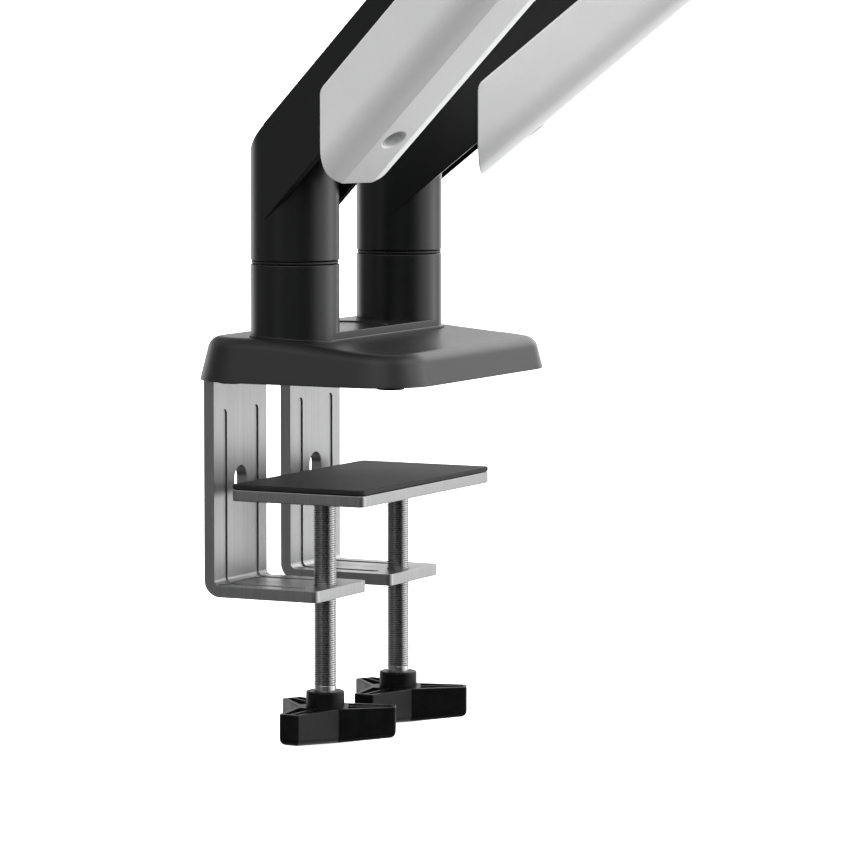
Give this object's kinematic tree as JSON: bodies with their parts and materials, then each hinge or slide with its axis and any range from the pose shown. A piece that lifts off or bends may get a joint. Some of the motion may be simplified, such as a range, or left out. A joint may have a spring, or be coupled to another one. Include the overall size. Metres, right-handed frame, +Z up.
{
  "type": "dual monitor arm",
  "caption": "Two-screen desk arm: twin posts on a clamp base, fixed-slope lower arms with light cable covers, spring-assisted upper arms and tilting screen plates.",
  "frame": {"origin": "centre of the base's underside plane, where it rests on the desk", "axes": "+X along the desk edge towards the right-hand post, +Y towards the rear edge of the desk and the clamp's upright legs, +Z up"},
  "size_m": [0.797, 0.4833, 0.549],
  "materials": {
    "silver_white_shell": "fine satin moulded shell, very light grey",
    "base_moulding": "fine matte moulded housing, dark grey",
    "black_trim": "fine matte trim, black",
    "rubber": "plain rubber",
    "pad_foam": "fine-grained anti-slip sheet",
    "satin_alloy": "satin silver, bead blasted and lacquered",
    "zinc_thread": "bright zinc plate",
    "knob_plastic": "glass-filled plastic, lightly textured",
    "bare_steel": "plain steel",
    "zinc_steel": "zinc-plated steel",
    "black_casting": "fine black powder coat on cast alloy"
  },
  "bodies": {
    "base": {"base_cover": "base_moulding", "base_plate": "bare_steel", "foot_pad_front_left": "rubber", "foot_pad_front_right": "rubber", "foot_pad_rear_left": "rubber", "foot_pad_rear_right": "rubber", "twin_post_base": "black_casting", "clamp_bracket_left": "satin_alloy", "clamp_bracket_right": "satin_alloy", "bracket_bolt_left": "zinc_steel", "bracket_bolt_right": "zinc_steel", "left_base_ring": "black_trim", "right_base_ring": "black_trim"},
    "clamp": {"clamp_plate": "satin_alloy", "clamp_pad": "pad_foam"},
    "left_knob": {"clamp_screw_left": "zinc_thread", "clamp_knob_left": "knob_plastic"},
    "right_knob": {"clamp_screw_right": "zinc_thread", "clamp_knob_right": "knob_plastic"},
    "left_lower": {"left_base_bolt": "zinc_steel", "left_lower_arm": "black_casting", "left_lower_cover": "silver_white_shell", "left_cover_screw": "zinc_steel"},
    "left_elbow": {"left_elbow_bolt": "zinc_steel", "left_elbow_yoke": "black_casting", "left_elbow_pin_upper": "bare_steel", "left_elbow_pin_lower": "bare_steel"},
    "left_upper": {"left_upper_arm": "black_casting", "left_upper_cover": "silver_white_shell", "left_gas_spring_barrel": "black_casting", "left_head_pin_upper": "bare_steel"},
    "left_link": {"left_lower_link": "black_casting"},
    "left_spring": {"left_gas_spring_rod": "zinc_steel"},
    "left_head": {"left_head_yoke": "black_casting", "left_head_pin_lower": "bare_steel"},
    "left_pan": {"left_pan_knuckle": "black_casting", "left_tilt_bolt": "zinc_steel"},
    "left_tilt": {"left_tilt_head": "black_casting"},
    "left_screen": {"left_vesa_plate": "black_casting"},
    "right_lower": {"right_base_bolt": "zinc_steel", "right_lower_arm": "black_casting", "right_lower_cover": "silver_white_shell", "right_cover_screw": "zinc_steel"},
    "right_elbow": {"right_elbow_bolt": "zinc_steel", "right_elbow_yoke": "black_casting", "right_elbow_pin_upper": "bare_steel", "right_elbow_pin_lower": "bare_steel"},
    "right_upper": {"right_upper_arm": "black_casting", "right_upper_cover": "silver_white_shell", "right_gas_spring_barrel": "black_casting", "right_head_pin_upper": "bare_steel"},
    "right_link": {"right_lower_link": "black_casting"},
    "right_spring": {"right_gas_spring_rod": "zinc_steel"},
    "right_head": {"right_head_yoke": "black_casting", "right_head_pin_lower": "bare_steel"},
    "right_pan": {"right_pan_knuckle": "black_casting", "right_tilt_bolt": "zinc_steel"},
    "right_tilt": {"right_tilt_head": "black_casting"},
    "right_screen": {"right_vesa_plate": "black_casting"}
  },
  "joints": [
    {"name": "clamp_travel", "type": "slide", "parent": "base", "child": "clamp", "axis": [0, 0, 1], "range_m": [-0.0354, 0.0333]},
    {"name": "left_knob_spin", "type": "hinge", "parent": "clamp", "child": "left_knob", "pos_m": [-0.0354, 0.0062, -0.1], "axis": [0, 0, 1], "range_deg": [-12750, 12000]},
    {"name": "right_knob_spin", "type": "hinge", "parent": "clamp", "child": "right_knob", "pos_m": [0.0354, 0.0062, -0.1], "axis": [0, 0, 1], "range_deg": [-12750, 12000]},
    {"name": "left_base_swivel", "type": "hinge", "parent": "base", "child": "left_lower", "pos_m": [-0.05, 0.013, 0.052], "axis": [0, 0, 1], "range_deg": [-90, 35]},
    {"name": "left_elbow_swivel", "type": "hinge", "parent": "left_lower", "child": "left_elbow", "pos_m": [-0.11379, -0.17655, 0.2843], "axis": [0, 0, 1], "range_deg": [-90, 90]},
    {"name": "left_arm_pitch", "type": "hinge", "parent": "left_elbow", "child": "left_upper", "pos_m": [-0.13984, -0.19841, 0.303], "axis": [-0.6428, 0.766, 0], "range_deg": [-35, 40]},
    {"name": "left_link_pitch", "type": "hinge", "parent": "left_elbow", "child": "left_link", "pos_m": [-0.13984, -0.19841, 0.272], "axis": [-0.6428, 0.766, 0], "range_deg": [-35, 40]},
    {"name": "left_spring_travel", "type": "slide", "parent": "left_upper", "child": "left_spring", "axis": [-0.7651, -0.642, 0.0499], "range_m": [-0.0086, 0.0076]},
    {"name": "left_head_level", "type": "hinge", "parent": "left_upper", "child": "left_head", "pos_m": [-0.31603, -0.34625, 0.303], "axis": [-0.6428, 0.766, 0], "range_deg": [-40, 35]},
    {"name": "left_head_pan", "type": "hinge", "parent": "left_head", "child": "left_pan", "pos_m": [-0.34054, -0.36682, 0.303], "axis": [0, 0, 1], "range_deg": [-135, 35]},
    {"name": "left_head_tilt", "type": "hinge", "parent": "left_pan", "child": "left_tilt", "pos_m": [-0.34054, -0.39682, 0.33], "axis": [-1, 0, 0], "range_deg": [-15, 60]},
    {"name": "left_screen_rotate", "type": "hinge", "parent": "left_tilt", "child": "left_screen", "pos_m": [-0.34054, -0.42482, 0.33], "axis": [0, -1, 0], "range_deg": [-90, 90]},
    {"name": "right_base_swivel", "type": "hinge", "parent": "base", "child": "right_lower", "pos_m": [0.05, 0.013, 0.052], "axis": [0, 0, 1], "range_deg": [-35, 90]},
    {"name": "right_elbow_swivel", "type": "hinge", "parent": "right_lower", "child": "right_elbow", "pos_m": [0.11379, -0.17655, 0.2843], "axis": [0, 0, 1], "range_deg": [-90, 90]},
    {"name": "right_arm_pitch", "type": "hinge", "parent": "right_elbow", "child": "right_upper", "pos_m": [0.13984, -0.19841, 0.303], "axis": [-0.6428, -0.766, 0], "range_deg": [-35, 40]},
    {"name": "right_link_pitch", "type": "hinge", "parent": "right_elbow", "child": "right_link", "pos_m": [0.13984, -0.19841, 0.272], "axis": [-0.6428, -0.766, 0], "range_deg": [-35, 40]},
    {"name": "right_spring_travel", "type": "slide", "parent": "right_upper", "child": "right_spring", "axis": [0.7651, -0.642, 0.0499], "range_m": [-0.0086, 0.0076]},
    {"name": "right_head_level", "type": "hinge", "parent": "right_upper", "child": "right_head", "pos_m": [0.31603, -0.34625, 0.303], "axis": [-0.6428, -0.766, 0], "range_deg": [-40, 35]},
    {"name": "right_head_pan", "type": "hinge", "parent": "right_head", "child": "right_pan", "pos_m": [0.34054, -0.36682, 0.303], "axis": [0, 0, 1], "range_deg": [-35, 135]},
    {"name": "right_head_tilt", "type": "hinge", "parent": "right_pan", "child": "right_tilt", "pos_m": [0.34054, -0.39682, 0.33], "axis": [-1, 0, 0], "range_deg": [-15, 60]},
    {"name": "right_screen_rotate", "type": "hinge", "parent": "right_tilt", "child": "right_screen", "pos_m": [0.34054, -0.42482, 0.33], "axis": [0, -1, 0], "range_deg": [-90, 90]}
  ],
  "couplings": [
    {"joint": "left_knob_spin", "follows": "clamp_travel", "rad_per_m": 6283.2},
    {"joint": "right_knob_spin", "follows": "clamp_travel", "rad_per_m": 6283.2},
    {"joint": "left_link_pitch", "follows": "left_arm_pitch", "ratio": 1},
    {"joint": "left_spring_travel", "follows": "left_arm_pitch", "m_per_rad": -0.0122},
    {"joint": "left_head_level", "follows": "left_arm_pitch", "ratio": -1},
    {"joint": "right_link_pitch", "follows": "right_arm_pitch", "ratio": 1},
    {"joint": "right_spring_travel", "follows": "right_arm_pitch", "m_per_rad": -0.0122},
    {"joint": "right_head_level", "follows": "right_arm_pitch", "ratio": -1}
  ]
}
